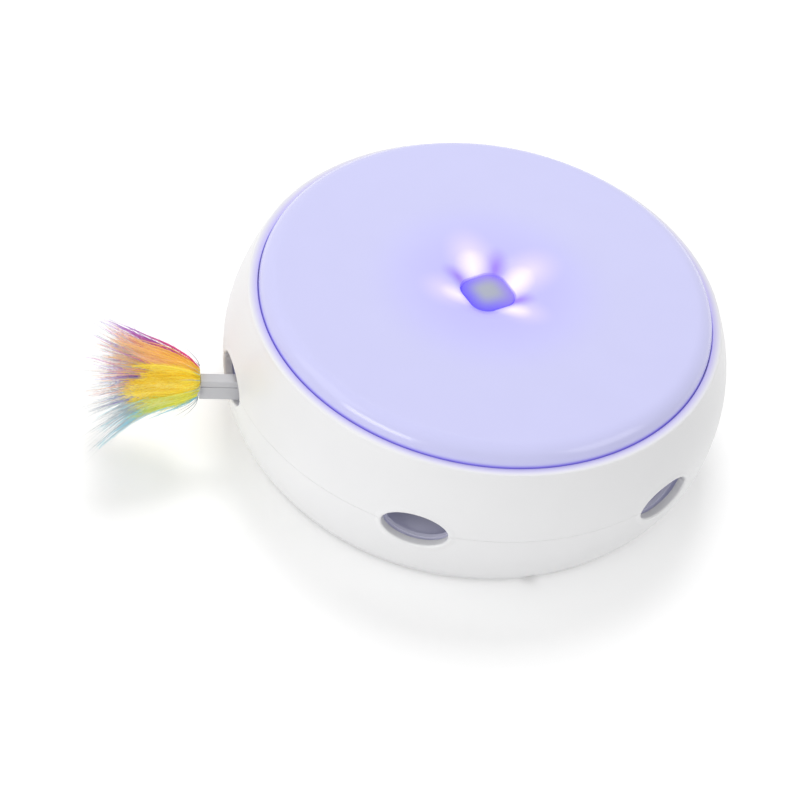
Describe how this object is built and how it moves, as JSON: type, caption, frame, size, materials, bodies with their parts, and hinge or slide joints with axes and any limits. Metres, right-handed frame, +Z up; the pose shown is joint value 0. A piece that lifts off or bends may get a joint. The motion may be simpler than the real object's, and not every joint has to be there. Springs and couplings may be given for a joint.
{
  "type": "automatic cat toy",
  "caption": "Round motorised cat toy with oval windows, a lit milky cover with a push button, and a feather on a rack-driven arm that slides out of a window.",
  "frame": {"origin": "on the casing's axis, in the plane of the feet's underside", "axes": "+Z up along the casing's axis; the feather arm points along -X"},
  "size_m": [0.225, 0.175, 0.0618],
  "materials": {
    "casing_white": "satin moulded white plastic",
    "liner_grey": "moulded violet grey plastic",
    "cover_milky": "milky lilac translucent plastic, gloss",
    "button_grey": "moulded plastic, satin",
    "tray_white": "matt white plastic",
    "board_green": "glass fibre board with solder mask",
    "lamp_lens": "moulded lamp body with clear lens",
    "switch_black": "black moulded plastic",
    "foot_rubber": "matt rubber",
    "screw_steel": "zinc plated steel",
    "cell_wrap": "plain shrink wrap",
    "contact_nickel": "nickel plated steel",
    "deck_grey": "grey moulded plastic",
    "turret_grey": "violet grey moulded plastic",
    "gear_white": "natural acetal",
    "bush_brass": "turned brass",
    "motor_steel": "drawn steel can",
    "arm_grey": "light grey moulded plastic, satin",
    "feather": "dyed feathers",
    "chip_black": "moulded epoxy"
  },
  "bodies": {
    "root": {"lower_casing": "casing_white", "upper_casing": "casing_white", "window_liner": "liner_grey", "top_cover": "cover_milky", "light_reflector": "tray_white", "led_board": "board_green", "led_lamps": "lamp_lens", "tact_switch": "switch_black", "rubber_feet": "foot_rubber", "casing_screws": "screw_steel", "battery_door": "casing_white", "door_screw": "screw_steel", "battery_cells": "cell_wrap", "contact_plates": "contact_nickel", "contact_springs": "contact_nickel", "main_board": "board_green", "board_parts": "chip_black", "board_screws": "screw_steel", "chassis_deck": "deck_grey", "deck_screws": "screw_steel", "turret_motor": "motor_steel", "turret_motor_screws": "screw_steel", "idler_pin": "screw_steel", "pivot_washer": "screw_steel", "pivot_screw": "screw_steel"},
    "turret": {"turret_bush": "bush_brass", "turret_plate": "turret_grey", "turret_gear": "gear_white", "arm_guide": "turret_grey", "guide_cap": "turret_grey", "cap_screws": "screw_steel", "arm_motor": "motor_steel", "motor_bracket": "screw_steel", "bracket_screw": "screw_steel", "drive_gear_pin": "screw_steel", "gear_clip": "screw_steel", "home_switch": "switch_black"},
    "feather_slider": {"feather_arm": "arm_grey", "feather_ferrule": "arm_grey", "feather_tuft": "feather"},
    "button": {"push_button": "button_grey", "switch_plunger": "switch_black"},
    "drive_gear": {"arm_drive_gear": "gear_white"},
    "arm_pinion": {"arm_motor_pinion": "bush_brass"},
    "idler": {"idler_gear": "gear_white"},
    "turret_pinion": {"turret_motor_pinion": "bush_brass"}
  },
  "joints": [
    {"name": "turret_turn", "type": "hinge", "parent": "root", "child": "turret", "pos_m": [0, 0, 0.0254], "axis": [0, 0, 1], "range_deg": [-6, 0.5]},
    {"name": "arm_slide", "type": "slide", "parent": "turret", "child": "feather_slider", "axis": [-1, 0, 0], "range_m": [-0.058, 0], "deforming": ["feather_tuft"]},
    {"name": "button_press", "type": "slide", "parent": "root", "child": "button", "axis": [0, 0, -1], "range_m": [0, 0.0006], "stiffness_N_per_m": 900, "springref_m": -0.0006},
    {"name": "drive_gear_spin", "type": "hinge", "parent": "turret", "child": "drive_gear", "pos_m": [-0.016, -0.01011, 0.0298], "axis": [0, 0, 1], "range_deg": [-1, 520.24]},
    {"name": "arm_motor_spin", "type": "hinge", "parent": "turret", "child": "arm_pinion", "pos_m": [-0.016, 0.00389, 0.0422], "axis": [0, 0, 1], "range_deg": [-1905.89, 2]},
    {"name": "idler_spin", "type": "hinge", "parent": "root", "child": "idler", "pos_m": [0, -0.0336, 0.0174], "axis": [0, 0, 1], "range_deg": [-3.5, 36.5]},
    {"name": "turret_motor_spin", "type": "hinge", "parent": "root", "child": "turret_pinion", "pos_m": [0, -0.0466, 0.0174], "axis": [0, 0, 1], "range_deg": [-121, 11]}
  ],
  "couplings": [
    {"joint": "drive_gear_spin", "follows": "arm_slide", "rad_per_m": -156.25},
    {"joint": "arm_motor_spin", "follows": "arm_slide", "rad_per_m": 572.92},
    {"joint": "idler_spin", "follows": "turret_turn", "ratio": -6},
    {"joint": "turret_motor_spin", "follows": "turret_turn", "ratio": 20}
  ]
}
